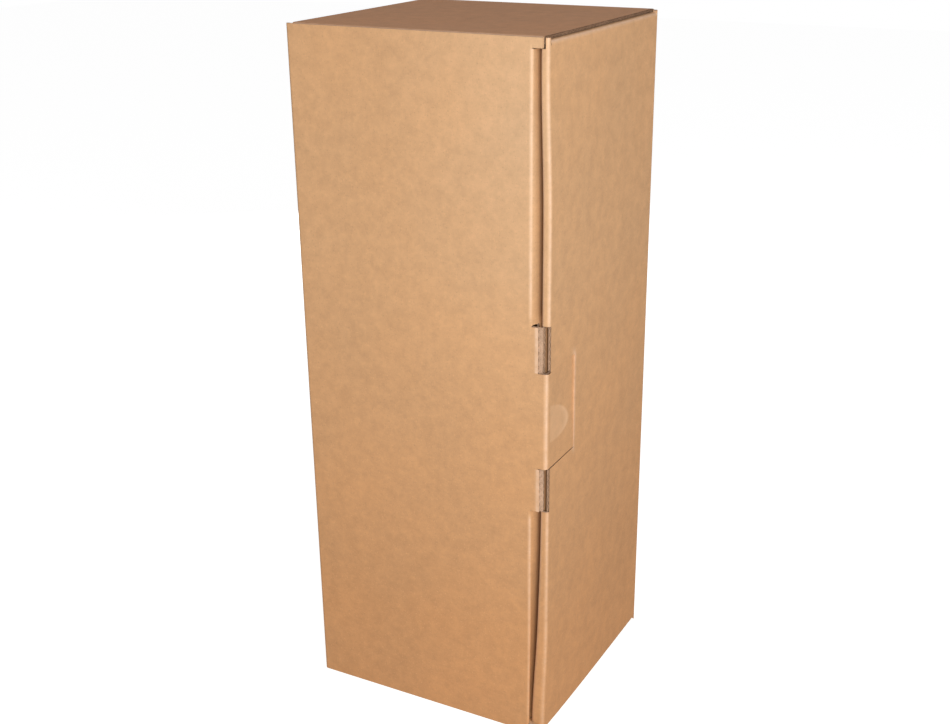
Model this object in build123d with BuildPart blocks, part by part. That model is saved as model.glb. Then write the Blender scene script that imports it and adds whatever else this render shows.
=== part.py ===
from build123d import *
import math
import os

# Tall mailer box, die-cut from one corrugated sheet and standing on an end wall.
# X runs from the hinge wall to the front wall, the lid closes the -Y side and
# Z runs up the long side. The origin is the middle of the footprint. Millimetres.

# Outside of the closed box
width = 131.0
depth = 122.0
height = 340.0

# Board and creases
board = 1.5
crease_radius = 0.5
layer_gap = 0.15

# Double front wall: outer sheet, air, inner sheet
front_air = 2.4
front_inner_floor_gap = 0.3
front_end_gap = 0.2

# Double end walls, which hold the dust flaps between their two sheets
end_setback = 2.4
end_floor_gap = 0.3

# Dust flaps, folded in from the front wall and from the hinge wall
dust_length = 52.0
dust_corner_radius = 9.0
dust_strip_gap = 0.7

# Lock tabs of the end walls, pushed through slots in the back panel
tab_width = 22.0
tab_spacing = 72.0
tab_slot_clearance = 0.3
tab_recess = 0.1

# Lid, with the hinge crease on the -X side
lid_rest_gap = 0.3
lid_end_gap = 0.3
lid_hinge_gap = 0.3
lid_hinge_round = 1.2

# Tuck flaps of the lid, one on each side of the closure
tuck_front_gap = 2.2
tuck_length = 30.0
tuck_lean = 4.0
tuck_corner_radius = 9.0
tuck_end_gap = 0.4
shoulder_reach = 5.5
shoulder_slit = 0.6

# Closure: a notch in the front wall's rolled edge, with the lid's tongue in its middle
notch_length = 91.4
notch_depth = 1.7
tongue_width = 47.2
tongue_length = 30.5
tongue_clearance = 0.5
tongue_crease_radius = 0.5
tongue_corner_radius = 1.5
slot_lid_reach = 3.3

# Planes that the sheets lie in, measured to the middle of the board
half_board = board / 2
half_width = width / 2
half_depth = depth / 2
fold_radius = crease_radius + half_board
outer_fold_radius = crease_radius + board
rim_y = -half_depth + board + lid_rest_gap
hinge_x = -half_width + half_board
front_x = half_width - half_board
back_y = half_depth - half_board
roll_y = rim_y + half_board
front_thickness = 2 * board + front_air
front_inner_x = half_width - front_thickness + half_board
front_inner_end_y = half_depth - board - front_inner_floor_gap
end_thickness = 3 * board + 2 * layer_gap
end_inner_end_y = half_depth - board - end_floor_gap
end_half_width = half_width - end_setback
dust_z = board + layer_gap + half_board
dust_start_y = rim_y + board + dust_strip_gap
wall_end_z = board + layer_gap + outer_fold_radius
roll_end_z = end_thickness + front_end_gap
middle_z = height / 2
lid_y = -half_depth + half_board

# Sketch planes across the box and along it
side_plane = Plane.YZ
end_plane = Plane.XZ


# The tray: back panel, hinge wall, front wall, end walls and dust flaps in one sheet
with BuildPart() as tray:
    # back panel between the hinge wall and the outer sheet of the front wall
    with BuildSketch(Plane.XY.offset(wall_end_z)):
        with BuildLine():
            FilletPolyline(
                (hinge_x, rim_y),
                (hinge_x, back_y),
                (front_x, back_y),
                (front_x, rim_y),
                radius=fold_radius,
            )
        trace(line_width=board)
    extrude(amount=height - 2 * wall_end_z)

    # front wall rolled over at the rim and brought back down inside
    with BuildSketch(Plane.XY.offset(roll_end_z)):
        with BuildLine():
            FilletPolyline(
                (front_x, back_y - 2 * outer_fold_radius),
                (front_x, roll_y),
                (front_inner_x, roll_y),
                (front_inner_x, front_inner_end_y),
                radius=fold_radius,
            )
        trace(line_width=board)
    extrude(amount=height - 2 * roll_end_z)

    # the corner that the rolled edge takes off the outer sheet's square rim
    with BuildSketch(Plane.XY.offset(roll_end_z)):
        with Locations((half_width, rim_y)):
            Rectangle(outer_fold_radius, outer_fold_radius, align=(Align.MAX, Align.MIN))
        with Locations((half_width - outer_fold_radius, rim_y + outer_fold_radius)):
            Circle(outer_fold_radius, mode=Mode.SUBTRACT)
    extrude(amount=height - 2 * roll_end_z, mode=Mode.SUBTRACT)

    # end walls, rolled over at the rim and locked down on the back panel
    for base_z, up in ((0, 1), (height, -1)):
        with BuildSketch(side_plane.offset(-end_half_width)):
            with BuildLine():
                FilletPolyline(
                    (back_y, base_z + up * (wall_end_z + board)),
                    (back_y, base_z + up * half_board),
                    (roll_y, base_z + up * half_board),
                    (roll_y, base_z + up * (end_thickness - half_board)),
                    (end_inner_end_y, base_z + up * (end_thickness - half_board)),
                    radius=fold_radius,
                )
            trace(line_width=board)
        extrude(amount=2 * end_half_width)

        # dust flaps between the two sheets of the end wall
        for wall_x, inward in ((hinge_x, 1), (front_x, -1)):
            with BuildSketch(end_plane.offset(-end_inner_end_y)):
                with BuildLine():
                    FilletPolyline(
                        (wall_x, base_z + up * (wall_end_z + board)),
                        (wall_x, base_z + up * dust_z),
                        (wall_x + inward * dust_length, base_z + up * dust_z),
                        radius=fold_radius,
                    )
                trace(line_width=board)
            extrude(amount=end_inner_end_y - dust_start_y)

        # lock tabs and the slots they stand in
        with BuildSketch(Plane.XZ.offset(-half_depth)):
            with Locations((0, base_z + up * (end_thickness - half_board))):
                with GridLocations(tab_spacing, 0, 2, 1):
                    Rectangle(tab_width + 2 * tab_slot_clearance, board + 2 * tab_slot_clearance)
        extrude(amount=board, mode=Mode.SUBTRACT)
        with BuildSketch(Plane.XZ.offset(-half_depth + tab_recess)):
            with Locations((0, base_z + up * (end_thickness - half_board))):
                with GridLocations(tab_spacing, 0, 2, 1):
                    Rectangle(tab_width, board)
        extrude(amount=board + end_floor_gap)

    # rounded free corners of the dust flaps
    upright_edges = tray.edges().filter_by(Axis.Z)
    thin_edges = upright_edges.filter_by(lambda edge: abs(edge.length - board) < layer_gap)
    flap_corners = thin_edges.filter_by(
        lambda edge: abs(abs(edge.center().X) - (half_width - half_board - dust_length)) < layer_gap
    )
    fillet(flap_corners, dust_corner_radius)

    # notch through the rolled edge of the front wall
    with BuildSketch(Plane.XY.offset(middle_z - notch_length / 2)):
        with Locations((half_width, rim_y)):
            Rectangle(front_thickness, notch_depth, align=(Align.MAX, Align.MIN))
    extrude(amount=notch_length, mode=Mode.SUBTRACT)

    # window in the outer sheet, where the lid's tongue lies level with the wall
    with BuildSketch(Plane.YZ.offset(half_width)):
        with Locations((-half_depth + tongue_length + tongue_clearance, middle_z)):
            Rectangle(
                tongue_length,
                tongue_width + 2 * tongue_clearance,
                align=(Align.MAX, Align.CENTER),
            )
    extrude(amount=-(board + layer_gap), mode=Mode.SUBTRACT)

tray.part.label = "tray"


# The lid: panel, two tuck flaps and the tongue between them
tuck_outer_x = half_width - front_thickness - tuck_front_gap
tuck_x = tuck_outer_x - half_board
tuck_tip_x = tuck_x - tuck_length * math.sin(math.radians(tuck_lean))
tuck_tip_y = lid_y + tuck_length * math.cos(math.radians(tuck_lean))
tuck_end_z = end_thickness + tuck_end_gap
tuck_height = middle_z - notch_length / 2 - tuck_end_z
lid_start_x = -half_width + lid_hinge_gap

with BuildPart() as lid:
    # panel up to the crease of the tuck flaps
    with BuildSketch(Plane.XZ.offset(half_depth)):
        with Locations((lid_start_x, middle_z)):
            Rectangle(
                tuck_outer_x - outer_fold_radius - lid_start_x,
                height - 2 * lid_end_gap,
                align=(Align.MIN, Align.CENTER),
            )
    extrude(amount=-board)

    # tuck flaps above and below the closure
    for start_z in (tuck_end_z, height - tuck_end_z - tuck_height):
        with BuildSketch(Plane.XY.offset(start_z)):
            with BuildLine():
                FilletPolyline(
                    (tuck_x - 2 * outer_fold_radius, lid_y),
                    (tuck_x, lid_y),
                    (tuck_tip_x, tuck_tip_y),
                    radius=fold_radius,
                )
            trace(line_width=board)
        extrude(amount=tuck_height)

    # square shoulders that cover the ends of the front wall
    shoulder_height = tuck_end_z - shoulder_slit - lid_end_gap
    for base_z, rise in ((lid_end_gap, Align.MIN), (height - lid_end_gap, Align.MAX)):
        with BuildSketch(Plane.XZ.offset(half_depth)):
            with Locations((tuck_outer_x - 2 * outer_fold_radius, base_z)):
                Rectangle(
                    2 * outer_fold_radius + shoulder_reach,
                    shoulder_height,
                    align=(Align.MIN, rise),
                )
        extrude(amount=-board)

    # raw edge of the panel beside the tongue
    with BuildSketch(Plane.XZ.offset(half_depth)):
        with Locations((tuck_outer_x - 2 * outer_fold_radius, middle_z)):
            Rectangle(
                2 * outer_fold_radius + slot_lid_reach,
                notch_length - 2 * tongue_clearance,
                align=(Align.MIN, Align.CENTER),
            )
    extrude(amount=-board)

    # tongue, folded over the notch and down into the window
    with BuildSketch(Plane.XY.offset(middle_z - tongue_width / 2)):
        with BuildLine():
            FilletPolyline(
                (tuck_x - 2 * outer_fold_radius, lid_y),
                (front_x, lid_y),
                (front_x, -half_depth + tongue_length),
                radius=tongue_crease_radius + half_board,
            )
        trace(line_width=board)
    extrude(amount=tongue_width)

    # rounded free corners of the tuck flaps and of the tongue
    thin_edges = lid.edges().filter_by(lambda edge: abs(edge.length - board) < layer_gap)
    tuck_corners = thin_edges.filter_by(lambda edge: abs(edge.center().Y - tuck_tip_y) < board)
    tuck_corners = tuck_corners.filter_by(lambda edge: edge.center().X < tuck_outer_x)
    fillet(tuck_corners, tuck_corner_radius)
    cross_edges = lid.edges().filter_by(Axis.X)
    thin_edges = cross_edges.filter_by(lambda edge: abs(edge.length - board) < layer_gap)
    tongue_corners = thin_edges.filter_by(
        lambda edge: abs(edge.center().Y + half_depth - tongue_length) < layer_gap
    )
    fillet(tongue_corners, tongue_corner_radius)

    # rounded outside of the hinge crease
    hinge_edge = lid.edges().filter_by(Axis.Z).group_by(Axis.X)[0].sort_by(Axis.Y)[0]
    fillet(hinge_edge, lid_hinge_round)

lid.part.label = "lid"


os.makedirs("parts", exist_ok=True)
export_step(tray.part, "parts/tray.step")
export_step(lid.part, "parts/lid.step")
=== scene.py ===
import math
import bmesh
import bpy
from mathutils import Matrix, Vector, noise


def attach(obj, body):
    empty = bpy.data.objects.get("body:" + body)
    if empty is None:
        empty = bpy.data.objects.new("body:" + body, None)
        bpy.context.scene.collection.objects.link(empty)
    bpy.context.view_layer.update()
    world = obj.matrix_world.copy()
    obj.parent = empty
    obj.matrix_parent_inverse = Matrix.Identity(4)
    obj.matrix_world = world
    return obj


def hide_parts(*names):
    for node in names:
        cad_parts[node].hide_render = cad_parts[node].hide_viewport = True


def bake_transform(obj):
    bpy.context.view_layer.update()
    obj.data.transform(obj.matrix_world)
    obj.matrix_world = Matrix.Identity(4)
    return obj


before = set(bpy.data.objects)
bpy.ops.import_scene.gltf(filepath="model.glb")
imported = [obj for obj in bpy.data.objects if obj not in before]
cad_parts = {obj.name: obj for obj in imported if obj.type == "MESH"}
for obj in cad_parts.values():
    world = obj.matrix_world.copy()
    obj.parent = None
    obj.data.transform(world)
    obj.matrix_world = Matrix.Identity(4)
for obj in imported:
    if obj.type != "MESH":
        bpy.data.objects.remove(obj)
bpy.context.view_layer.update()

mm = 0.001
tiny = 0.01                  # millimetres, for places that lie on a line

# the box, in millimetres, standing on an end wall with the lid towards -Y
box = {
    "width": 131.0,
    "depth": 122.0,
    "height": 340.0,
    "board": 1.5,
    "liner": 0.24,
    "foldRadius": 1.0,
    "creaseReach": 0.4,      # stretched paper beside a fold
    "grooveDepth": 0.5,      # of the cut edges, between the two liners
    "cell": 5.0,             # spacing of the sheet's mesh
}
halfWidth = box["width"] / 2
halfDepth = box["depth"] / 2
height = box["height"]
halfBoard = box["board"] / 2
middleZ = height / 2


# a sheet's section is a line of corner points, rounded at its folds
def foldPath(points, radius):
    runs = []
    here = Vector(points[0])
    length = 0.0
    for i in range(1, len(points) - 1):
        corner = Vector(points[i])
        before = (corner - Vector(points[i - 1])).normalized()
        after = (Vector(points[i + 1]) - corner).normalized()
        turn = math.atan2(before.cross(after), before.dot(after))
        tangent = radius * math.tan(abs(turn) / 2)
        foldStart = corner - before * tangent
        stretch = (foldStart - here).length
        runs.append(("flat", length, stretch, here.copy(), before, 0.0))
        length += stretch
        runs.append(("fold", length, radius * abs(turn), foldStart, before, turn))
        length += radius * abs(turn)
        here = corner + after * tangent
    last = Vector(points[-1]) - here
    runs.append(("flat", length, last.length, here.copy(), last.normalized(), 0.0))
    return {"runs": runs, "radius": radius, "length": length + last.length}


# where a place along the section, and out from its middle, comes to lie
def onPath(path, along, out):
    run = path["runs"][-1]
    for one in path["runs"]:
        if along <= one[1] + one[2]:
            run = one
            break
    kind, start, stretch, place, direction, turn = run
    step = along - start
    if kind == "flat":
        place = place + direction * step
    else:
        side = 1 if turn > 0 else -1
        angle = side * step / path["radius"]
        left = Vector((-direction.y, direction.x))
        centre = place + left * side * path["radius"]
        direction = Matrix.Rotation(angle, 2) @ direction
        place = centre - Vector((-direction.y, direction.x)) * side * path["radius"]
    return place + Vector((-direction.y, direction.x)) * out


def folds(path):
    return [(one[1], one[1] + one[2]) for one in path["runs"] if one[0] == "fold"]


def linesBetween(stops, spacing):
    stops = sorted(set(round(stop, 4) for stop in stops))
    lines = [stops[0]]
    for a, b in zip(stops, stops[1:]):
        count = max(1, round((b - a) / spacing))
        lines += [a + (b - a) * (i + 1) / count for i in range(count)]
    return lines


def foldLines(path, count=6):
    # the lines across each fold, with one just before and one just after it
    lines = []
    for a, b in folds(path):
        lines += [a + (b - a) * i / count for i in range(count + 1)]
        lines += [a - box["creaseReach"], b + box["creaseReach"]]
    return lines


def gridOf(uLines, vLines, lift=None):
    # a grid whose lines are moved to the given places
    bm = bmesh.new()
    across, up = len(uLines) - 1, len(vLines) - 1
    bmesh.ops.create_grid(bm, x_segments=across, y_segments=up, size=0.5)
    for vert in bm.verts:
        u = uLines[round((vert.co.x + 0.5) * across)]
        v = vLines[round((vert.co.y + 0.5) * up)]
        vert.co = (u, v, lift(v) if lift else 0)
    return bm


# the flat blank is a grid, less the waste that the die cuts away
def cutBlank(uLines, vLines, keep):
    bm = gridOf(uLines, vLines)
    waste = []
    for face in bm.faces:
        centre = face.calc_center_median()
        if not keep(centre.x, centre.y):
            waste.append(face)
    bmesh.ops.delete(bm, geom=waste, context="FACES")
    return bm


def roundCorner(bm, u, v, towardsU, towardsV, radius, cuts=5):
    centre = Vector((u - towardsU * radius, v - towardsV * radius, 0))
    margin = -1.0            # the faces that are cut reach a little past the centre
    for k in range(cuts):
        angle = math.radians(90 * (k + 0.5) / cuts)
        normal = Vector((towardsU * math.cos(angle), towardsV * math.sin(angle), 0))
        near = []
        for face in bm.faces:
            at = face.calc_center_median() - centre
            if margin < at.x * towardsU < radius and margin < at.y * towardsV < radius:
                near.append(face)
        edges = dict.fromkeys(edge for face in near for edge in face.edges)
        verts = dict.fromkeys(vert for face in near for vert in face.verts)
        bmesh.ops.bisect_plane(
            bm, geom=near + list(edges) + list(verts), dist=0.001,
            plane_co=centre + normal * radius, plane_no=normal, clear_outer=True,
        )


def rawEdges(bm, isPlain):
    # straight runs of cut edge as (direction, fixed place, from, to, side of the board)
    pieces = {}
    for edge in bm.edges:
        if not edge.is_boundary:
            continue
        a, b = edge.verts[0].co, edge.verts[1].co
        if isPlain((a.x + b.x) / 2, (a.y + b.y) / 2):
            continue
        inside = edge.link_faces[0].calc_center_median() - (a + b) / 2
        for way, fixed, along in (("v", 0, 1), ("u", 1, 0)):
            if abs(a[fixed] - b[fixed]) < tiny and abs(a[along] - b[along]) > tiny:
                key = (way, round(a[fixed], 3), 1 if inside[fixed] > 0 else -1)
                span = (min(a[along], b[along]), max(a[along], b[along]))
                pieces.setdefault(key, []).append(span)
    runs = []
    for (way, place, side), spans in sorted(pieces.items()):
        spans.sort()
        start, end = spans[0]
        for a, b in spans[1:]:
            if a > end + 2 * tiny:
                runs.append((way, place, start, end, side))
                start = a
            end = max(end, b)
        runs.append((way, place, start, end, side))
    return runs


def raiseCopy(bm, rise):
    # a second sheet at this height, joined to the first along its edges
    made = bmesh.ops.extrude_face_region(bm, geom=bm.faces[:])
    raised = [item for item in made["geom"] if isinstance(item, bmesh.types.BMVert)]
    bmesh.ops.translate(bm, verts=raised, vec=(0, 0, rise))
    bmesh.ops.recalc_face_normals(bm, faces=bm.faces[:])


# the wavy middle paper, drawn along the cut edges only
flute = {
    "pitch": 3.4,
    "crestGap": 0.13,        # from the middle of the paper to the liner
    "uneven": 0.12,
    "unevenScale": 0.21,
    "unevenPlace": (3.1, 0.7),
    "thickness": 0.2,
    "depth": 0.7,            # how far in it is drawn
    "setBack": 0.1,          # from the cut
    "endGap": 0.08,
    "shortest": 1.0,
    "step": 0.425,           # spacing of its mesh
}


def fluteHeight(v):
    crest = (box["board"] - 2 * box["liner"]) / 2 - flute["crestGap"]
    uneven = noise.noise(Vector((v * flute["unevenScale"], *flute["unevenPlace"])))
    return crest * (1 + flute["uneven"] * uneven) * math.sin(2 * math.pi * v / flute["pitch"])


def fluteStrips(runs, uLines):
    bm = bmesh.new()
    for way, place, start, end, side in runs:
        inner, outer = place + side * flute["depth"], place + side * flute["setBack"]
        start, end = start + flute["endGap"], end - flute["endGap"]
        if end - start < flute["shortest"]:
            continue
        if way == "v":
            us = [inner, outer]
            vs = linesBetween([start, end], flute["step"])
        else:
            us = [start] + [u for u in uLines if start < u < end] + [end]
            vs = linesBetween([inner, outer], flute["step"])
        strip = gridOf(us, vs, lambda v: fluteHeight(v) - flute["thickness"] / 2)
        raiseCopy(strip, flute["thickness"])
        part = bpy.data.meshes.new("strip")
        strip.to_mesh(part)
        strip.free()
        bm.from_mesh(part)
        bpy.data.meshes.remove(part)
    return bm


def thicken(bm, isPlain):
    # two liners with the cut edges open between them
    raiseCopy(bm, box["board"])
    bmesh.ops.translate(bm, verts=bm.verts[:], vec=(0, 0, -halfBoard))
    rim = []
    for face in bm.faces:
        if abs(face.normal.z) > 0.5:
            face.material_index = 0 if face.normal.z > 0 else 1
            face.smooth = True
            continue
        face.material_index = 2
        centre = face.calc_center_median()
        if isPlain(centre.x, centre.y):
            face.material_index = 0
        else:
            rim.append(face)
    lips = bmesh.ops.inset_region(
        bm, faces=rim, thickness=box["liner"], depth=-box["grooveDepth"],
        use_boundary=True, use_even_offset=True,
    )["faces"]
    for face in lips:
        face.smooth = False
        face.material_index = 2
    for face in rim:
        face.material_index = 3
    for edge in bm.edges:
        edge.smooth = all(face.smooth for face in edge.link_faces)
    return bm


def addObject(name, data):
    made = bpy.data.objects.new(name, data)
    bpy.context.scene.collection.objects.link(made)
    return made


def foldSheet(name, bm, place, paintedLightAndWear, materials):
    # the flat place of every corner is kept as UV, then the sheet is folded
    flat = bm.loops.layers.uv.new("blank")
    # the crease attribute holds wear and painted light: paler stretched or crushed paper with a
    # painted highlight above zero, painted shade below zero
    worn = bm.verts.layers.float.new("crease")
    for face in bm.faces:
        for loop in face.loops:
            loop[flat].uv = (loop.vert.co.x * mm, loop.vert.co.y * mm)
    for vert in bm.verts:
        u, v, w = vert.co
        vert[worn] = paintedLightAndWear(u, v, w)
        vert.co = place(u, v, w) * mm
    bmesh.ops.reverse_faces(bm, faces=bm.faces[:])  # folding turns the flat blank inside out
    mesh = bpy.data.meshes.new(name)
    bm.to_mesh(mesh)
    bm.free()
    for material in materials:
        mesh.materials.append(material)
    return addObject(name, mesh)


def nearFold(along, spots):
    # 1 on the crest of a fold, falling off beside it
    crest = 0.0
    for a, b in spots:
        reach = (b - a) / 2 + box["creaseReach"]
        crest = max(crest, 1 - abs(along - (a + b) / 2) / reach)
    return crest


# the two faces of the board, all colours linear
outsideFace = {
    "colour": (0.63, 0.372, 0.186),
    "creaseLight": 0.62,     # how pale its folds get from stretched paper and a painted highlight, and how dark the painted shade in its hollows
    "hollowShade": 0.74,
    "ribHeight": 0.1,
    "marked": 1.0,           # the half-moon shows on this face only
}
insideFace = {
    "colour": (0.54, 0.315, 0.155),
    "creaseLight": 0.25,
    "hollowShade": 0.9,
    "ribHeight": 0.2,
    "marked": 0.0,
}

# the paper that both are made of
kraft = {
    # painted shade: the dark colour mixed in where the crease attribute is below zero
    "paintedShade": (0.11, 0.054, 0.023),
    # the folds' pale colour: stretched paper with a painted highlight
    "foldLight": (0.88, 0.64, 0.46),
    "foldBreaks": (0.45, 1.0),       # the pale folds are broken up
    "dullFoot": 0.45,                # and their painted highlight is dimmer near the foot
    "dullBetween": (0.03, 0.15),     # heights in metres
    "cloudTint": (1.0, 0.93, 0.84),
    "cloudSpan": (0.35, 0.75),
    "cloudShare": 0.45,
    "specular": 0.22,
    "roughness": (0.80, 0.91),
    "bump": (0.26, 0.00022),         # strength, distance in metres
    "ribSpan": (0.35, 0.65),         # the flutes show through in patches
    "ribFade": (0.25, 1.0),
}
noiseSpan = (0.3, 0.7)       # where most of a noise texture's values lie

# layers of noise, over the flat blank or through the box, with the tone they add
# to the paper and how far they stand out of it
grain = {
    "cloud": {"scale": 16.0, "detail": 3.0, "roughness": 0.55, "tone": (-0.045, 0.045)},
    "mottle": {"flat": True, "scale": 430.0, "detail": 3.0, "roughness": 0.6,
               "tone": (-0.046, 0.046), "relief": 0.35},
    "blotch": {"scale": 150.0, "detail": 2.0, "roughness": 0.5, "tone": (-0.055, 0.055)},
    "fibre": {"flat": True, "stretch": (420.0, 2600.0, 1.0), "detail": 2.0, "roughness": 0.6,
              "tone": (-0.024, 0.02), "relief": 0.40},
    "crossFibre": {"flat": True, "stretch": (1900.0, 520.0, 1.0), "shift": (7.0, 3.0, 0.0),
                   "detail": 2.0, "roughness": 0.6, "tone": (-0.02, 0.02), "relief": 0.25},
    "fleck": {"flat": True, "stretch": (1500.0, 1100.0, 1.0), "detail": 1.0, "roughness": 0.4},
    "foldBreak": {"scale": 260.0, "detail": 3.0, "roughness": 0.65},
    "ribPatch": {"scale": 22.0, "detail": 2.0, "roughness": 0.5},
}
flecks = {
    "dark": {"span": (0.66, 0.74), "share": 0.35, "level": 0.55},
    "pale": {"span": (0.34, 0.27), "share": 0.30, "level": 1.35},
}

# painted light over the box, between these places in metres: painted shade that darkens and warms
# the paper towards the foot and darkens the top, and a painted sheen on the lid's upper part
tints = {
    # painted shade, darker and warmer towards the foot
    "foot": {"colour": (0.93, 0.825, 0.725), "between": {"Z": (0.24, 0.05)}},
    # painted sheen: paler and whiter on the lid's upper right
    "paintedSheen": {"colour": (1.03, 1.11, 1.22),
                 "between": {"Z": (0.16, 0.30), "X": (-0.015, 0.055), "Y": (-0.0575, -0.0595)}},
    # painted shade: darker and cooler on the top end wall
    "top": {"colour": (0.93, 0.85, 0.87),
            "between": {"Z": (0.3383, 0.3395), "Y": (-0.0592, -0.058)}},
}

# a half-moon pressed into the tongue, paler paper with a painted highlight on its rim, in the flat
# blank's own millimetres
moon = {
    "u": -131.9,
    "v": 168.7,
    "deep": 24.0,
    "tall": 9.4,
    "droop": 0.5,
    "edge": (1.0, 0.9),
    "startEdge": (0.0, 0.06),
    "rim": (0.70, 0.92),
    "rimDeep": (0.3, 0.9),
    # how much paler the mark is, and how bright the painted highlight on its rim
    "light": 0.3,
    "rimLight": 0.4,
    "paper": (0.80, 0.52, 0.30),
    "pressed": 0.8,
}

# the open cut edges, their depths and the wavy paper in them, each from pale to dark; the depths
# are darker, painted shade in the open flutes
cutBoard = {
    "edge": {"pale": (0.65, 0.43, 0.28), "dark": 0.6},
    # painted shade: the open flutes' depths are darker than the paper
    "shadedDepths": {"pale": (0.46, 0.29, 0.175), "dark": 0.5},
    "flutes": {"pale": (0.66, 0.44, 0.29), "dark": 0.6},
    "ragged": {"scale": 1500.0, "detail": 3.0, "roughness": 0.6, "tone": (0.0, 0.6)},
    "patch": {"scale": 190.0, "detail": 2.0, "roughness": 0.5, "tone": (0.0, 0.4)},
    # how far the painted shade darkens the cut edges
    "hollowShade": 0.9,
    "specular": 0.15,
    "roughness": (0.85, 0.97),
    "bump": (0.5, 0.0002),
}


def newNode(tree, kind, **values):
    # nodes stand in rows of twelve, in the order in which they are made
    node = tree.nodes.new(kind)
    row, place = divmod(len(tree.nodes), 12)
    node.location = (place * 180 - 2200, 900 - row * 260)
    for key, value in values.items():
        setattr(node, key, value)
    return node


def feed(tree, socket, value):
    # a number or a colour is set on the socket, an output is linked to it
    if isinstance(value, (int, float)):
        socket.default_value = value
    elif isinstance(value, tuple):
        socket.default_value = (*value, 1.0)
    else:
        tree.links.new(value, socket)


def mathNode(tree, operation, a, b=0.0, clamp=False):
    node = newNode(tree, "ShaderNodeMath", operation=operation, use_clamp=clamp)
    feed(tree, node.inputs[0], a)
    feed(tree, node.inputs[1], b)
    return node.outputs[0]


def noiseNode(tree, vector, layer):
    if "stretch" in layer:
        mapping = newNode(tree, "ShaderNodeMapping")
        mapping.inputs["Scale"].default_value = layer["stretch"]
        mapping.inputs["Location"].default_value = layer.get("shift", (0, 0, 0))
        tree.links.new(vector, mapping.inputs["Vector"])
        vector = mapping.outputs[0]
    node = newNode(tree, "ShaderNodeTexNoise")
    node.inputs["Scale"].default_value = layer.get("scale", 1.0)
    node.inputs["Detail"].default_value = layer["detail"]
    node.inputs["Roughness"].default_value = layer["roughness"]
    tree.links.new(vector, node.inputs["Vector"])
    return node.outputs["Fac"]


def rangeNode(tree, value, span, to=(0.0, 1.0)):
    node = newNode(tree, "ShaderNodeMapRange")
    tree.links.new(value, node.inputs["Value"])
    labels = ("From Min", "From Max", "To Min", "To Max")
    for label, number in zip(labels, (*span, *to)):
        node.inputs[label].default_value = number
    return node.outputs[0]


def mixColour(tree, factor, first, second, blend="MIX"):
    node = newNode(tree, "ShaderNodeMix", data_type="RGBA", blend_type=blend)
    for socket, value in ((0, factor), (6, first), (7, second)):
        feed(tree, node.inputs[socket], value)
    return node.outputs[2]


def splitNode(tree, vector):
    node = newNode(tree, "ShaderNodeSeparateXYZ")
    tree.links.new(vector, node.inputs[0])
    return node.outputs


def newFinish(name, specular):
    material = bpy.data.materials.new(name)
    material.use_nodes = True
    tree = material.node_tree
    tree.nodes["Principled BSDF"].inputs["Specular IOR Level"].default_value = specular
    return material, tree


def finishSurface(tree, colour, relief, bump, rough):
    shader = tree.nodes["Principled BSDF"]
    bumpNode = newNode(tree, "ShaderNodeBump")
    bumpNode.inputs["Strength"].default_value = bump[0]
    bumpNode.inputs["Distance"].default_value = bump[1]
    tree.links.new(relief, bumpNode.inputs["Height"])
    tree.links.new(bumpNode.outputs[0], shader.inputs["Normal"])
    tree.links.new(colour, shader.inputs["Base Color"])
    tree.links.new(rough, shader.inputs["Roughness"])


def grainyPaper(tree, colour, layers, inBox):
    # cloudy pulp, mottle, blotches and fibres, then the tints, which are painted shade and a
    # painted sheen, and small flecks
    tone = 1.0
    for name, layer in grain.items():
        if "tone" in layer:
            shade = rangeNode(tree, layers[name], noiseSpan, layer["tone"])
            tone = mathNode(tree, "ADD", shade, tone)
    grey = newNode(tree, "ShaderNodeCombineColor")
    for socket in grey.inputs:
        tree.links.new(tone, socket)
    paper = mixColour(tree, 1.0, colour, grey.outputs[0], "MULTIPLY")
    cloudy = rangeNode(tree, layers["cloud"], kraft["cloudSpan"], (0.0, kraft["cloudShare"]))
    paper = mixColour(tree, cloudy, paper, kraft["cloudTint"], "MULTIPLY")
    # painted shade towards the foot and on the top, and a painted sheen on the lid
    for tint in tints.values():
        share = 1.0
        for axis, span in tint["between"].items():
            share = mathNode(tree, "MULTIPLY", rangeNode(tree, inBox[axis], span), share)
        paper = mixColour(tree, share, paper, tint["colour"], "MULTIPLY")
    for fleck in flecks.values():
        share = rangeNode(tree, layers["fleck"], fleck["span"], (0.0, fleck["share"]))
        paper = mixColour(tree, share, paper, tuple(min(1.0, c * fleck["level"]) for c in colour))
    return paper


def creasedPaper(tree, paper, layers, inBox, face):
    # stretched paper and a painted highlight make the folds lighter, and painted shade darkens deep
    # places
    crease = newNode(tree, "ShaderNodeAttribute", attribute_name="crease").outputs["Fac"]
    crest = mathNode(tree, "POWER", mathNode(tree, "MAXIMUM", crease, 0.0), 2.0)
    broken = rangeNode(tree, layers["foldBreak"], noiseSpan, kraft["foldBreaks"])
    lifted = mathNode(tree, "MULTIPLY", crest, broken, True)
    dull = rangeNode(tree, inBox["Z"], kraft["dullBetween"], (kraft["dullFoot"], 1.0))
    lifted = mathNode(tree, "MULTIPLY", lifted, dull)
    lifted = mathNode(tree, "MULTIPLY", lifted, face["creaseLight"])
    paper = mixColour(tree, lifted, paper, kraft["foldLight"])
    # painted shade where the crease attribute is below zero
    hollow = rangeNode(tree, crease, (0.0, -1.0), (0.0, face["hollowShade"]))
    return mixColour(tree, hollow, paper, kraft["paintedShade"])


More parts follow.
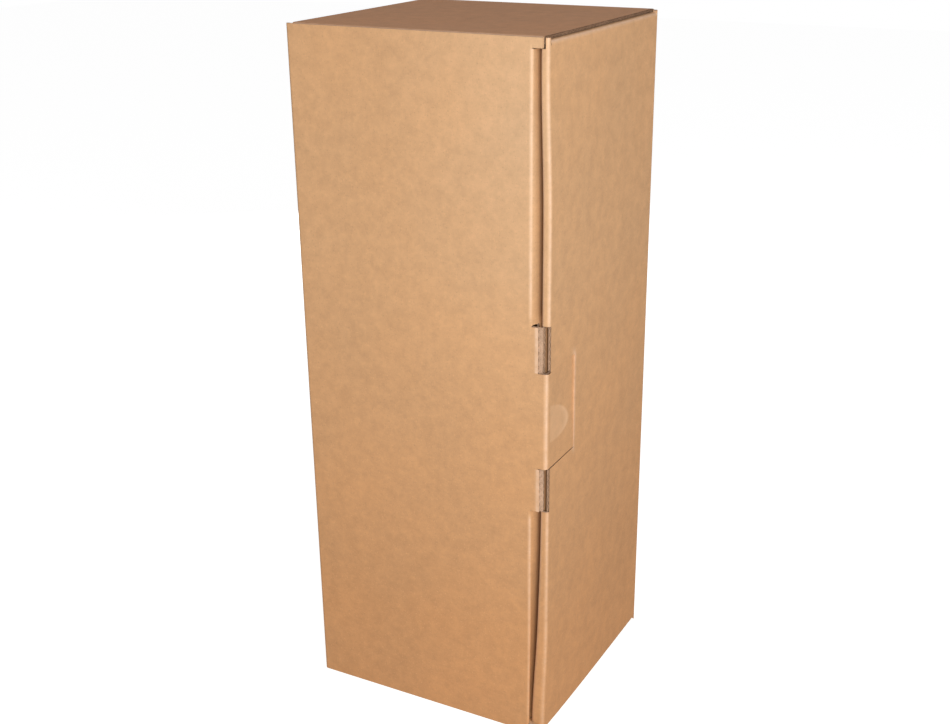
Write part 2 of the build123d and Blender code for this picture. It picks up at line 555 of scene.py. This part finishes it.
def moonMark(tree, onBlank, marked):
    deep = mathNode(tree, "SUBTRACT", moon["u"] * mm, onBlank["X"])
    deep = mathNode(tree, "DIVIDE", deep, moon["deep"] * mm)
    tall = mathNode(tree, "SUBTRACT", onBlank["Y"], moon["v"] * mm)
    tall = mathNode(tree, "DIVIDE", tall, moon["tall"] * mm)
    tall = mathNode(tree, "ADD", tall, mathNode(tree, "MULTIPLY", deep, moon["droop"]))
    squares = [mathNode(tree, "POWER", one, 2.0) for one in (deep, tall)]
    reach = mathNode(tree, "SQRT", mathNode(tree, "ADD", *squares))
    inMoon = mathNode(tree, "MULTIPLY", rangeNode(tree, reach, moon["edge"], (0.0, marked)),
                      rangeNode(tree, deep, moon["startEdge"]))
    # a painted highlight along the mark's rim
    rim = mathNode(tree, "MULTIPLY", inMoon, rangeNode(tree, reach, moon["rim"]))
    rim = mathNode(tree, "MULTIPLY", rim, rangeNode(tree, deep, moon["rimDeep"]))
    light = mathNode(tree, "ADD", mathNode(tree, "MULTIPLY", inMoon, moon["light"]),
                     mathNode(tree, "MULTIPLY", rim, moon["rimLight"]), True)
    return inMoon, light


def makeKraft(name, face):
    material, tree = newFinish(name, kraft["specular"])
    blank = newNode(tree, "ShaderNodeUVMap", uv_map="blank").outputs[0]
    solid = newNode(tree, "ShaderNodeTexCoord").outputs["Object"]
    onBlank, inBox = splitNode(tree, blank), splitNode(tree, solid)
    layers = {}
    for layer, values in grain.items():
        layers[layer] = noiseNode(tree, blank if "flat" in values else solid, values)
    inMoon, moonLight = moonMark(tree, onBlank, face["marked"])

    paper = grainyPaper(tree, face["colour"], layers, inBox)
    paper = creasedPaper(tree, paper, layers, inBox, face)
    # the half-moon's paler paper and painted rim highlight
    paper = mixColour(tree, moonLight, paper, moon["paper"])

    # flute ribs showing through, mottle and fibres, less the pressed mark
    rib = mathNode(tree, "MULTIPLY", onBlank["Y"], 2 * math.pi / (flute["pitch"] * mm))
    patches = rangeNode(tree, layers["ribPatch"], kraft["ribSpan"], kraft["ribFade"])
    relief = mathNode(tree, "MULTIPLY", mathNode(tree, "SINE", rib), patches)
    relief = mathNode(tree, "MULTIPLY", relief, face["ribHeight"])
    for layer, values in grain.items():
        if "relief" in values:
            relief = mathNode(tree, "ADD", relief,
                              mathNode(tree, "MULTIPLY", layers[layer], values["relief"]))
    relief = mathNode(tree, "SUBTRACT", relief, mathNode(tree, "MULTIPLY", inMoon, moon["pressed"]))
    rough = rangeNode(tree, layers["mottle"], noiseSpan, kraft["roughness"])
    finishSurface(tree, paper, relief, kraft["bump"], rough)
    return material


def makeCutEdge(name, pale, dark):
    material, tree = newFinish(name, cutBoard["specular"])
    solid = newNode(tree, "ShaderNodeTexCoord").outputs["Object"]
    ragged = noiseNode(tree, solid, cutBoard["ragged"])
    patch = noiseNode(tree, solid, cutBoard["patch"])
    tone = mathNode(tree, "ADD", rangeNode(tree, ragged, noiseSpan, cutBoard["ragged"]["tone"]),
                    rangeNode(tree, patch, noiseSpan, cutBoard["patch"]["tone"]), True)
    paper = mixColour(tree, tone, tuple(c * dark for c in pale), pale)
    crease = newNode(tree, "ShaderNodeAttribute", attribute_name="crease").outputs["Fac"]
    # painted shade on the cut edges where the crease attribute is below zero
    hollow = rangeNode(tree, crease, (0.0, -1.0), (0.0, cutBoard["hollowShade"]))
    paper = mixColour(tree, hollow, paper, kraft["paintedShade"])
    rough = rangeNode(tree, ragged, noiseSpan, cutBoard["roughness"])
    finishSurface(tree, paper, ragged, cutBoard["bump"], rough)
    return material


outsidePaper = makeKraft("kraftOutside", outsideFace)
insidePaper = makeKraft("kraftInside", insideFace)
cutPaper = makeCutEdge("cutEdge", **cutBoard["edge"])
shadedDepthPaper = makeCutEdge("shadedFluteDepths", **cutBoard["shadedDepths"])
flutePaper = makeCutEdge("flutePaper", **cutBoard["flutes"])
boardFinish = (outsidePaper, insidePaper, cutPaper, shadedDepthPaper)
print("finishes made")


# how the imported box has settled
settled = {
    "topFrom": 262.0,         # it grows from here to the top
    "topReach": 66.0,
    "bottomFrom": 124.0,      # and from here to the foot
    "footFrom": 60.0,
    "footReach": 55.0,
    "rimPullTop": 1.6,        # the front wall's rim leans in towards its ends
    "rimPullBottom": 1.3,
    "rimReach": 30.0,
    "squeezeTop": 1.5,        # its inner sheet closes up on the outer one, and parts
    "squeezeMiddle": 1.3,     # from it at the foot
    "squeezeBottom": -1.6,
    "squeezeReach": 45.0,
    "lidShiftTop": 1.7,       # the lid's front edge follows
    "lidShiftBottom": 0.2,
    "lidShiftFoot": 1.0,
    "tuckShiftTop": -1.1,     # and its tuck crease is pinched towards the ends
    "tuckShiftBottom": -3.2,
    "dish": 0.5,              # the panels are a little dished between their creases
    "dishFade": (22.0, 26.0),
    "dishMean": 0.55,
    "dishVary": 0.45,
    "dishWave": (75.0, 95.0),
    "dishPlace": {"front": 1.3, "hinge": 8.1, "lid": 4.6, "top": 6.2},
    "sideFrom": 44.0,         # where a wall's own settling sets in
    "lidFrom": -38.0,
    "ceilingFrom": 318.0,
    "wallReach": 14.0,
}


def smooth(value):
    value = max(0.0, min(1.0, value))
    return value * value * (3 - 2 * value)


def between(z, bottom, middle, top):
    toTop = smooth((z - settled["topFrom"]) / settled["topReach"])
    toBottom = smooth((settled["bottomFrom"] - z) / settled["bottomFrom"])
    return middle + (top - middle) * toTop + (bottom - middle) * toBottom


def atFoot(z):
    return smooth((settled["footFrom"] - z) / settled["footReach"])


def dished(a, b, size, wall):
    fade = smooth(min(a, size[0] - a) / settled["dishFade"][0])
    fade *= smooth(min(b, size[1] - b) / settled["dishFade"][1])
    at = (a / settled["dishWave"][0], b / settled["dishWave"][1], settled["dishPlace"][wall])
    vary = settled["dishVary"] * noise.noise(Vector(at))
    return settled["dish"] * fade * (settled["dishMean"] + vary)


def settle(p):
    x, y, z = p
    toFront = smooth((x - settled["sideFrom"]) / settled["wallReach"])
    toHinge = smooth((-settled["sideFrom"] - x) / settled["wallReach"])
    toLid = smooth((settled["lidFrom"] - y) / settled["wallReach"])
    toTop = smooth((z - settled["ceilingFrom"]) / settled["wallReach"])
    across, deep = p.x + halfWidth, p.y + halfDepth
    x -= toFront * dished(deep, p.z, (box["depth"], height), "front")
    x += toHinge * dished(deep, p.z, (box["depth"], height), "hinge")
    y += toLid * dished(across, p.z, (box["width"], height), "lid")
    z -= toTop * dished(across, deep, (box["width"], box["depth"]), "top")
    nearRim = math.exp(-max(0.0, p.y - rimY) / settled["rimReach"])
    pull = between(p.z, 0.0, 0.0, settled["rimPullTop"]) + settled["rimPullBottom"] * atFoot(p.z)
    x -= toFront * nearRim * pull
    return Vector((x, y, z))


# the tray: back panel, hinge wall, double front wall, end walls and dust flaps
tray = {
    "lidRestGap": 0.3,
    "seam": 0.4,             # from its rim to the hinge crease
    "frontThickness": 5.4,
    "innerFloorGap": 0.3,
    "endThickness": 4.8,
    "endHalfWidth": 63.1,
    "endShade": -0.62,       # painted shade on the raw ends of the end walls
    "endShadeReach": 0.8,
    "endLine": 0.9,          # a line of the mesh that keeps this shade to the edge
    "foldZ": 20.0,           # the end folds are drawn from this height down
    "dustZ": 2.4,
    "dustLength": 52.0,
    "dustRadius": 9.0,
    "dustFrom": -57.0,
    "dustTo": 58.6,
    "wallEnd": 3.65,
    "cornerEnd": 0.6,        # the upright corners run on past the wall's ends
    "rollEnd": 5.0,
    "rimMargin": 0.1,        # on either side of the rim's fold
    "tabHalf": 11.0,
    "tabPlace": 36.0,
    "tabOut": 1.7,
    "slotHalf": 11.3,
    "slotZ": (3.0, 5.1),
    "notchHalf": 45.7,
    "notchY": -57.5,
    "gapShade": -1.0,        # painted shade in the gap between the wall's sheets, seen in the notch
    "windowHalf": 23.75,
    "windowY": -30.35,
    "windowCrush": 2.6,      # crushed paper with a painted highlight at the window's end
    "windowPale": 0.95,
}
rimY = -halfDepth + box["board"] + tray["lidRestGap"]
rollY = rimY + halfBoard
hingeX = -halfWidth + halfBoard
frontX = halfWidth - halfBoard
backY = halfDepth - halfBoard
innerX = halfWidth - tray["frontThickness"] + halfBoard
innerEndY = halfDepth - box["board"] - tray["innerFloorGap"]
seamY = rimY + tray["seam"]
foldZ = tray["foldZ"]

wrap = foldPath(
    [(hingeX, seamY), (hingeX, backY), (frontX, backY),
     (frontX, rollY), (innerX, rollY), (innerX, innerEndY)],
    box["foldRadius"])
endFold = foldPath(
    [(backY, foldZ), (backY, halfBoard), (rollY, halfBoard),
     (rollY, tray["endThickness"] - halfBoard),
     (innerEndY + tray["tabOut"], tray["endThickness"] - halfBoard)],
    box["foldRadius"])
dustFold = foldPath(
    [(0, foldZ), (0, tray["dustZ"]), (tray["dustLength"], tray["dustZ"])], box["foldRadius"])
wrapFolds = folds(wrap)
backStart = wrapFolds[0][1]
outerStart, outerEnd = wrapFolds[1][1], wrapFolds[2][0]
rimEnd, rollStop = wrapFolds[2][1], wrapFolds[3][1]


# a place on each wall as a place on the flat blank
def hingeU(y):
    return y - seamY


def backU(x):
    return backStart + x - (hingeX + box["foldRadius"])


def outerU(y):
    return outerStart + (backY - box["foldRadius"]) - y


def innerU(y):
    return rollStop + y - (rollY + box["foldRadius"])


def inCorner(u):
    return hingeU(tray["dustTo"]) < u < backU(-tray["endHalfWidth"]) or \
        backU(tray["endHalfWidth"]) < u < outerU(tray["dustTo"])


def inEndWall(u, margin=0.0):
    return backU(-tray["endHalfWidth"]) - margin < u < backU(tray["endHalfWidth"]) + margin


def trayKeeps(u, v):
    down = min(v, height - v)
    mid = abs(v - middleZ)
    fromTab = abs(abs(hingeX + box["foldRadius"] + u - backStart) - tray["tabPlace"])
    if inCorner(u) or (outerEnd < u < rimEnd and down < tray["wallEnd"]):
        return down > tray["cornerEnd"]
    if down > tray["wallEnd"]:
        if u > rimEnd and down < tray["rollEnd"]:
            return False
        if mid < tray["notchHalf"] and outerU(tray["notchY"]) < u < innerU(tray["notchY"]):
            return False
        if mid < tray["windowHalf"] and outerU(tray["windowY"]) < u < innerU(tray["notchY"]):
            return False
        return not (tray["slotZ"][0] < down < tray["slotZ"][1] and fromTab < tray["slotHalf"])
    inEnd = foldZ - down
    if inEndWall(u):
        if tray["slotZ"][0] < down and fromTab < tray["slotHalf"]:
            return False
        return inEnd <= endFold["length"] - tray["tabOut"] or fromTab < tray["tabHalf"]
    if inEnd > dustFold["length"]:
        return False
    return hingeU(tray["dustFrom"]) < u < hingeU(tray["dustTo"]) or \
        outerU(tray["dustTo"]) < u < outerU(tray["dustFrom"])


def trayPlace(u, v, w):
    down = min(v, height - v)
    if down >= foldZ or u > outerEnd + tiny:
        x, y = onPath(wrap, u, w)
        z = v
    else:
        x, y = onPath(wrap, u, 0)
        if inEndWall(u, tiny):
            y, z = onPath(endFold, foldZ - down, w)
        elif u < hingeU(tray["dustTo"]) + tiny:
            inward, z = onPath(dustFold, foldZ - down, -w)
            x = hingeX + inward
        elif u > outerStart + tiny:
            inward, z = onPath(dustFold, foldZ - down, -w)
            x = frontX - inward
        else:
            x, y = onPath(wrap, u, w)
            z = down
        z = z if v < middleZ else height - z
    if u > outerEnd:
        share = smooth((u - outerEnd) / (rollStop - outerEnd))
        share *= math.exp(-max(0.0, y - rimY) / settled["squeezeReach"])
        x += share * between(
            z, settled["squeezeBottom"], settled["squeezeMiddle"], settled["squeezeTop"])
    return settle(Vector((x, y, z)))


def trayWearAndPaintedLight(u, v, w):
    down = min(v, height - v)
    mid = abs(v - middleZ)
    # paler stretched paper and a painted highlight along the folds
    worn = nearFold(u, wrapFolds)
    if inEndWall(u, tiny):
        toEnd = tray["endHalfWidth"] - abs(u - backU(0))
        # painted shade on the raw ends of the end walls
        if down < tray["wallEnd"] and toEnd < tray["endShadeReach"]:
            return tray["endShade"]
        if down <= foldZ:
            worn = 0.0
        worn = max(worn, nearFold(foldZ - down, folds(endFold)))
    elif u < outerEnd:
        worn = max(worn, nearFold(foldZ - down, folds(dustFold)))
    past = outerU(tray["windowY"]) - u
    # crushed paper with a painted highlight at the window's end
    if mid < tray["windowHalf"] + tiny and -tiny < past < tray["windowCrush"]:
        return tray["windowPale"] * (1 - past / tray["windowCrush"]) if w > 0 else 0.0
    inNotch = outerU(tray["notchY"]) - tiny < u < innerU(tray["notchY"]) + tiny
    # painted shade in the gap between the sheets, seen in the notch
    if w < 0 and mid < tray["notchHalf"] + tiny and inNotch:
        return tray["gapShade"]
    return worn


def trayPlain(u, v):
    # the hinge seam, the crushed end of the window and the ends of the rim's fold
    atWindow = abs(u - outerU(tray["windowY"])) < tiny and abs(v - middleZ) < tray["windowHalf"]
    atRim = outerEnd - tray["rimMargin"] < u < rimEnd + tray["rimMargin"]
    return abs(u) < tiny or atWindow or (atRim and min(v, height - v) < tray["rollEnd"])


trayU = linesBetween(
    [0, wrap["length"]] + foldLines(wrap)
    + [hingeU(tray["dustFrom"]), hingeU(tray["dustTo"])]
    + [outerU(tray["dustFrom"]), outerU(tray["dustTo"])]
    + [backU(side * (tray["endHalfWidth"] - inside)) for side in (-1, 1)
       for inside in (0, tray["endLine"])]
    + [backU(side * tray["tabPlace"] + reach) for side in (-1, 1)
       for reach in (-tray["slotHalf"], -tray["tabHalf"], tray["tabHalf"], tray["slotHalf"])]
    + [outerU(tray["notchY"]), innerU(tray["notchY"])]
    + [outerU(tray["windowY"]) - tray["windowCrush"] * share for share in (0, 0.5, 1)],
    box["cell"])
endStops = [foldZ - along for along in foldLines(endFold) + foldLines(dustFold)]
endStops += [foldZ - endFold["length"], foldZ - endFold["length"] + tray["tabOut"]]
endStops += [foldZ - dustFold["length"], foldZ, *tray["slotZ"]]
endStops += [tray["wallEnd"], tray["rollEnd"], tray["cornerEnd"]]
trayV = linesBetween(
    endStops + [height - stop for stop in endStops]
    + [middleZ + side * tray[reach] for side in (-1, 1) for reach in ("notchHalf", "windowHalf")],
    box["cell"])

blank = cutBlank(trayU, trayV, trayKeeps)
dustTip = foldZ - dustFold["length"]
for place, way in ((hingeU(tray["dustFrom"]), -1), (hingeU(tray["dustTo"]), 1),
                   (outerU(tray["dustTo"]), -1), (outerU(tray["dustFrom"]), 1)):
    roundCorner(blank, place, dustTip, way, -1, tray["dustRadius"])
    roundCorner(blank, place, height - dustTip, way, 1, tray["dustRadius"])
trayEdges = rawEdges(blank, trayPlain)
trayBoard = foldSheet("trayBoard", thicken(blank, trayPlain), trayPlace, trayWearAndPaintedLight, boardFinish)
trayFlutes = foldSheet(
    "trayFlutes", fluteStrips(trayEdges, trayU), trayPlace, trayWearAndPaintedLight, (flutePaper,))
for piece in (trayBoard, trayFlutes):
    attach(piece, "tray")
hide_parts("tray")
print("tray folded", len(trayBoard.data.polygons), len(trayFlutes.data.polygons))


# the hinge crease between the hinge wall and the lid, drawn with the lid shut; on the real box it
# bends as the lid opens
hinge = {
    "seam": 0.4,             # from its fold to the lid's sheet
    "endGap": 0.3,
    "foldCuts": 8,
    "spacing": 1.0,
    # paler stretched paper and a painted highlight along the hinge fold
    "pale": 0.35,
}
lidY = -halfDepth + halfBoard
lidSeamX = hingeX + box["foldRadius"] + hinge["seam"]
hingeFold = foldPath([(hingeX, seamY), (hingeX, lidY), (lidSeamX, lidY)], box["foldRadius"])
lidStart = -hingeFold["length"]


def hingePlace(u, v, w):
    x, y = onPath(hingeFold, -u, -w)
    return settle(Vector((x, y, v)))


def hingeWearAndHighlight(u, v, w):
    return hinge["pale"] * nearFold(-u, folds(hingeFold))


def hingePlain(u, v):
    return abs(u) < tiny or abs(u - lidStart) < tiny


creaseU = linesBetween(
    [lidStart, 0.0] + [-along for along in foldLines(hingeFold, hinge["foldCuts"])],
    hinge["spacing"])
creaseV = linesBetween(
    [hinge["endGap"], tray["wallEnd"], height - tray["wallEnd"], height - hinge["endGap"]],
    box["cell"])
blank = cutBlank(creaseU, creaseV, lambda u, v: True)
hingeCrease = foldSheet(
    "hingeCrease", thicken(blank, hingePlain), hingePlace, hingeWearAndHighlight, boardFinish)
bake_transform(hingeCrease)
print("hinge crease folded", len(hingeCrease.data.polygons))


# the lid: panel, tuck flaps, shoulders and the tongue
lid = {
    "endGap": 0.3,
    "crestX": 56.6,
    "bellyX": 59.7,          # past its crease the tuck flap slants in under the wall's rim
    "bellyDepth": 8.0,
    "slantShade": -1.0,      # painted shade on this slant, and a little past it
    "slantPast": 1.0,
    "tuckLength": 30.0,
    "tuckLean": 8.0,
    "tuckRadius": 9.0,
    "tuckEnd": 164.8,        # this and the next ones are measured from the middle height
    "shoulderFrom": 165.4,
    "notchHalf": 45.7,
    "edgeHalf": 45.2,
    "flapHalf": 23.75,       # the tuck flaps run on behind the slots up to the tongue
    "tongueHalf": 23.6,
    "shoulderX": 63.4,
    "shoulderEase": 8.0,     # the shoulders shift less and less with the panel's edge
    "slitStart": 57.2,
    "edgeX": 60.8,
    "edgeCut": 0.5,
    "edgeSlant": 1.5,        # this raw edge is cut on a slant
    "edgeEase": 1.0,
    "easeX": 55.6,           # the edge's own shifts set in here
    "tuckEase": 5.5,
    "lowerEdge": 1.0,        # the lower raw edge stands out a little further
    "lowerEase": 4.8,
    "paleEdge": 2.4,         # crushed paper with a painted highlight beside the slots
    "shiftFrom": 20.0,
    "shiftReach": 34.0,
    "tongueLength": 30.5,
    "tongueRadius": 1.25,
    "foldCuts": 8,
    "tongueCorner": 1.5,
    "cornerCuts": 3,
    "tongueSink": 1.0,       # its tip lies a little below the wall
    "sinkReach": 22.0,
    "lowerSink": 0.65,       # and less so in its lower half
    "lowerReach": 20.0,
    "tongueTaper": 0.6,      # its lower side runs aslant
    "tongueFit": 0.1,
    "taperFrom": 14.0,
    "taperReach": 9.0,
}
lean = math.radians(lid["tuckLean"])
tuckFold = foldPath(
    [(lidSeamX, lidY), (lid["crestX"], lidY), (lid["bellyX"], lidY + lid["bellyDepth"]),
     (lid["bellyX"] - lid["tuckLength"] * math.sin(lean),
      lidY + lid["tuckLength"] * math.cos(lean))],
    box["foldRadius"])
tongueFold = foldPath(
    [(lidSeamX, lidY), (frontX, lidY), (frontX, -halfDepth + lid["tongueLength"])],
    lid["tongueRadius"])


def lidKeeps(u, v):
    along = lidStart - u
    x = lidSeamX + along
    mid = abs(v - middleZ)
    if x < lid["slitStart"]:
        return True
    if mid > lid["shoulderFrom"]:
        return x < lid["shoulderX"]
    if mid > lid["tuckEnd"]:
        return False
    beyondCut = lid["edgeX"] + lid["edgeCut"] < x and along < tuckFold["length"]
    if mid > lid["notchHalf"]:
        return along < tuckFold["length"]
    if mid > lid["edgeHalf"]:
        return beyondCut
    if mid > lid["flapHalf"]:
        return x < lid["edgeX"] or beyondCut
    if mid > lid["tongueHalf"]:
        return x < lid["edgeX"]
    return along < tongueFold["length"]


def onTuck(x, mid):
    if lid["notchHalf"] - tiny < mid < lid["tuckEnd"] + tiny:
        return True
    beyondCut = x > lid["edgeX"] + lid["edgeCut"] - tiny
    return lid["flapHalf"] - tiny < mid < lid["notchHalf"] and beyondCut


def lidPlace(u, v, w):
    along = lidStart - u
    flatX = lidSeamX + along
    mid = abs(v - middleZ)
    if mid < lid["tongueHalf"] + tiny:
        x, y = onPath(tongueFold, along, -w)
        down = smooth((along - folds(tongueFold)[0][1]) / lid["sinkReach"])
        level = lid["lowerSink"] * smooth((middleZ - v) / lid["lowerReach"])
        x -= lid["tongueSink"] * down * (1 - level)
        if v < middleZ and flatX > lid["edgeX"]:
            taper = lid["tongueTaper"] * (1 - down) - lid["tongueFit"]
            v += taper * smooth((mid - lid["taperFrom"]) / lid["taperReach"])
    elif onTuck(flatX, mid):
        x, y = onPath(tuckFold, along, -w)
        pinch = between(v, settled["tuckShiftBottom"], 0.0, settled["tuckShiftTop"])
        x += smooth((flatX - lid["easeX"]) / lid["tuckEase"]) * pinch
    else:
        x, y = flatX, lidY - w
        if mid < lid["edgeHalf"] + tiny:
            slant = lid["edgeSlant"] * (0.5 - w / box["board"])
            x += slant * smooth((flatX - lid["edgeX"]) / lid["edgeEase"] + 1)
            if v < middleZ:
                x += lid["lowerEdge"] * smooth((flatX - lid["easeX"]) / lid["lowerEase"])
    shift = between(v, settled["lidShiftBottom"], 0.0, settled["lidShiftTop"])
    shift += settled["lidShiftFoot"] * atFoot(v)
    shift *= smooth((flatX - lid["shiftFrom"]) / lid["shiftReach"])
    if mid > lid["shoulderFrom"] - tiny:
        shift *= 1 - max(0.0, flatX - lid["easeX"]) / lid["shoulderEase"]
    return settle(Vector((x + shift, y, v)))


def lidWearAndPaintedLight(u, v, w):
    along = lidStart - u
    mid = abs(v - middleZ)
    toEdge = lid["edgeX"] - (lidSeamX + along)
    if mid < lid["tongueHalf"] + tiny:
        # paler stretched paper and a painted highlight along the tongue's fold
        return nearFold(along, folds(tongueFold))
    if lid["notchHalf"] < mid < lid["tuckEnd"]:
        crease, belly = folds(tuckFold)
        # painted shade on the tuck flap's slant
        if crease[1] < along < belly[1] + lid["slantPast"]:
            return lid["slantShade"] * smooth((along - crease[1]) / (belly[0] - crease[1]))
        # paler stretched paper and a painted highlight along the tuck's crease
        return nearFold(along, [crease])
    # crushed paper with a painted highlight beside the slots
    if mid < lid["edgeHalf"] + tiny and toEdge > -tiny:
        return smooth((lid["paleEdge"] - toEdge) / (lid["paleEdge"] / 2))
    return 0.0


def lidPlain(u, v):
    # the hinge seam and the ends of the shoulders
    atShoulder = abs(lidSeamX + lidStart - u - lid["shoulderX"]) < tiny
    return abs(u - lidStart) < tiny or (atShoulder and abs(v - middleZ) > lid["shoulderFrom"])


alongStops = [0.0, tuckFold["length"], tongueFold["length"]]
alongStops += foldLines(tuckFold) + foldLines(tongueFold, lid["foldCuts"])
alongStops += [place - lidSeamX for place in (
    lid["easeX"], lid["slitStart"], lid["edgeX"], lid["edgeX"] + lid["edgeCut"],
    lid["edgeX"] - lid["paleEdge"], lid["edgeX"] - lid["paleEdge"] / 2, lid["shoulderX"])]
lidU = linesBetween([lidStart - along for along in alongStops], box["cell"])
lidV = linesBetween(
    [lid["endGap"], height - lid["endGap"]]
    + [middleZ + side * lid[stop] for side in (-1, 1) for stop in (
        "tuckEnd", "shoulderFrom", "notchHalf", "edgeHalf", "flapHalf", "tongueHalf")],
    box["cell"])
blank = cutBlank(lidU, lidV, lidKeeps)
tuckTip = lidStart - tuckFold["length"]
tongueTip = lidStart - tongueFold["length"]
for side in (-1, 1):
    roundCorner(blank, tuckTip, middleZ + side * lid["tuckEnd"], -1, side, lid["tuckRadius"])
    roundCorner(blank, tuckTip, middleZ + side * lid["flapHalf"], -1, -side, lid["tuckRadius"])
    roundCorner(blank, tongueTip, middleZ + side * lid["tongueHalf"], -1, side,
                lid["tongueCorner"], lid["cornerCuts"])
lidEdges = rawEdges(blank, lidPlain)
lidBoard = foldSheet("lidBoard", thicken(blank, lidPlain), lidPlace, lidWearAndPaintedLight, boardFinish)
lidFlutes = foldSheet(
    "lidFlutes", fluteStrips(lidEdges, lidU), lidPlace, lidWearAndPaintedLight, (flutePaper,))
for piece in (lidBoard, lidFlutes):
    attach(piece, "lid")
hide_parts("lid")
print("lid folded", len(lidBoard.data.polygons), len(lidFlutes.data.polygons))


# floor and world: both look pale where they are seen, and light the box plainly
studio = {
    "floorSize": 6.0,
    "floorCells": 8,
    "floorColour": (0.74, 0.74, 0.74),
    "floorGlow": 0.757,
    "glowTint": (0.978, 1.0, 0.978),
    "worldLevel": 0.33,
    "worldTint": (1.0, 0.93, 1.0),
}


def seenDirectly(tree):
    rays = newNode(tree, "ShaderNodeLightPath")
    seen = mathNode(tree, "MAXIMUM", rays.outputs["Is Camera Ray"], rays.outputs["Is Glossy Ray"])
    return mathNode(tree, "MAXIMUM", seen, rays.outputs["Is Transmission Ray"])


def makeFloor():
    bm = bmesh.new()
    cells = studio["floorCells"]
    bmesh.ops.create_grid(bm, x_segments=cells, y_segments=cells, size=studio["floorSize"] / 2)
    mesh = bpy.data.meshes.new("studioFloor")
    bm.to_mesh(mesh)
    bm.free()
    material = bpy.data.materials.new("paleFloor")
    material.use_nodes = True
    tree = material.node_tree
    tree.nodes.clear()
    matte = newNode(tree, "ShaderNodeBsdfDiffuse")
    feed(tree, matte.inputs["Color"], studio["floorColour"])
    glow = newNode(tree, "ShaderNodeEmission")
    feed(tree, glow.inputs["Color"], studio["glowTint"])
    feed(tree, glow.inputs["Strength"],
         mathNode(tree, "MULTIPLY", seenDirectly(tree), studio["floorGlow"]))
    both = newNode(tree, "ShaderNodeAddShader")
    tree.links.new(matte.outputs[0], both.inputs[0])
    tree.links.new(glow.outputs[0], both.inputs[1])
    out = newNode(tree, "ShaderNodeOutputMaterial")
    tree.links.new(both.outputs[0], out.inputs["Surface"])
    mesh.materials.append(material)
    addObject("studioFloor", mesh)


def makeWorld():
    world = bpy.data.worlds.new("studioWorld")
    bpy.context.scene.world = world
    world.use_nodes = True
    tree = world.node_tree
    back = tree.nodes["Background"]
    seen = seenDirectly(tree)
    tint = mixColour(tree, seen, studio["worldTint"], (1.0, 1.0, 1.0))
    tree.links.new(tint, back.inputs["Color"])
    level = rangeNode(tree, seen, (0.0, 1.0), (studio["worldLevel"], 1.0))
    tree.links.new(level, back.inputs["Strength"])


# soft square lights, turned to a point of the box: degrees, metres and watts
keyLight = {
    "azimuth": 39.7,
    "elevation": 7.0,
    "distance": 0.85,
    "size": 0.55,
    "watts": 6.5,
    "target": (0, 0, 0.32),
}
backLight = {
    "azimuth": 215.0,
    "elevation": 0.0,
    "distance": 1.0,
    "size": 0.28,
    "watts": 2.0,
    "target": (0, 0, 0.17),
}


def lookBack(azimuth, elevation):
    a, e = math.radians(azimuth), math.radians(elevation)
    return Vector((math.sin(a) * math.cos(e), -math.cos(a) * math.cos(e), math.sin(e)))


def softLight(name, values):
    light = bpy.data.lights.new(name, "AREA")
    light.shape = "SQUARE"
    light.size = values["size"]
    light.energy = values["watts"]
    away = lookBack(values["azimuth"], values["elevation"])
    lamp = addObject(name, light)
    lamp.location = Vector(values["target"]) + away * values["distance"]
    lamp.rotation_euler = away.to_track_quat("Z", "Y").to_euler()


# the camera, fitted to the box's corners in the picture
photoView = {
    "place": (290.4, -542.5, 404.6),
    "azimuth": 27.83,
    "elevation": 21.40,
    "roll": -0.45,
    "focalPixels": 1288.0,
    "imagePixels": (950.0, 724.0),
    "centrePixel": (489.0, 370.0),
    "sensor": 36.0,
    "clip": (0.01, 20.0),
}


def makeCamera():
    data = bpy.data.cameras.new("photoCamera")
    camera = addObject("photoCamera", data)
    back = lookBack(photoView["azimuth"], photoView["elevation"])
    roll = Matrix.Rotation(math.radians(photoView["roll"]), 3, "Z")
    turn = back.to_track_quat("Z", "Y").to_matrix() @ roll
    camera.matrix_world = Matrix.Translation(Vector(photoView["place"]) * mm) @ turn.to_4x4()
    wide, tall = photoView["imagePixels"]
    data.sensor_width = photoView["sensor"]
    data.lens = photoView["focalPixels"] / wide * photoView["sensor"]
    data.shift_x = (wide / 2 - photoView["centrePixel"][0]) / wide
    data.shift_y = (photoView["centrePixel"][1] - tall / 2) / wide
    data.clip_start, data.clip_end = photoView["clip"]
    bpy.context.scene.camera = camera


makeFloor()
makeWorld()
softLight("keyLight", keyLight)
softLight("backLight", backLight)
makeCamera()
bpy.context.scene.view_settings.view_transform = "Standard"
print("floor, light and camera set")
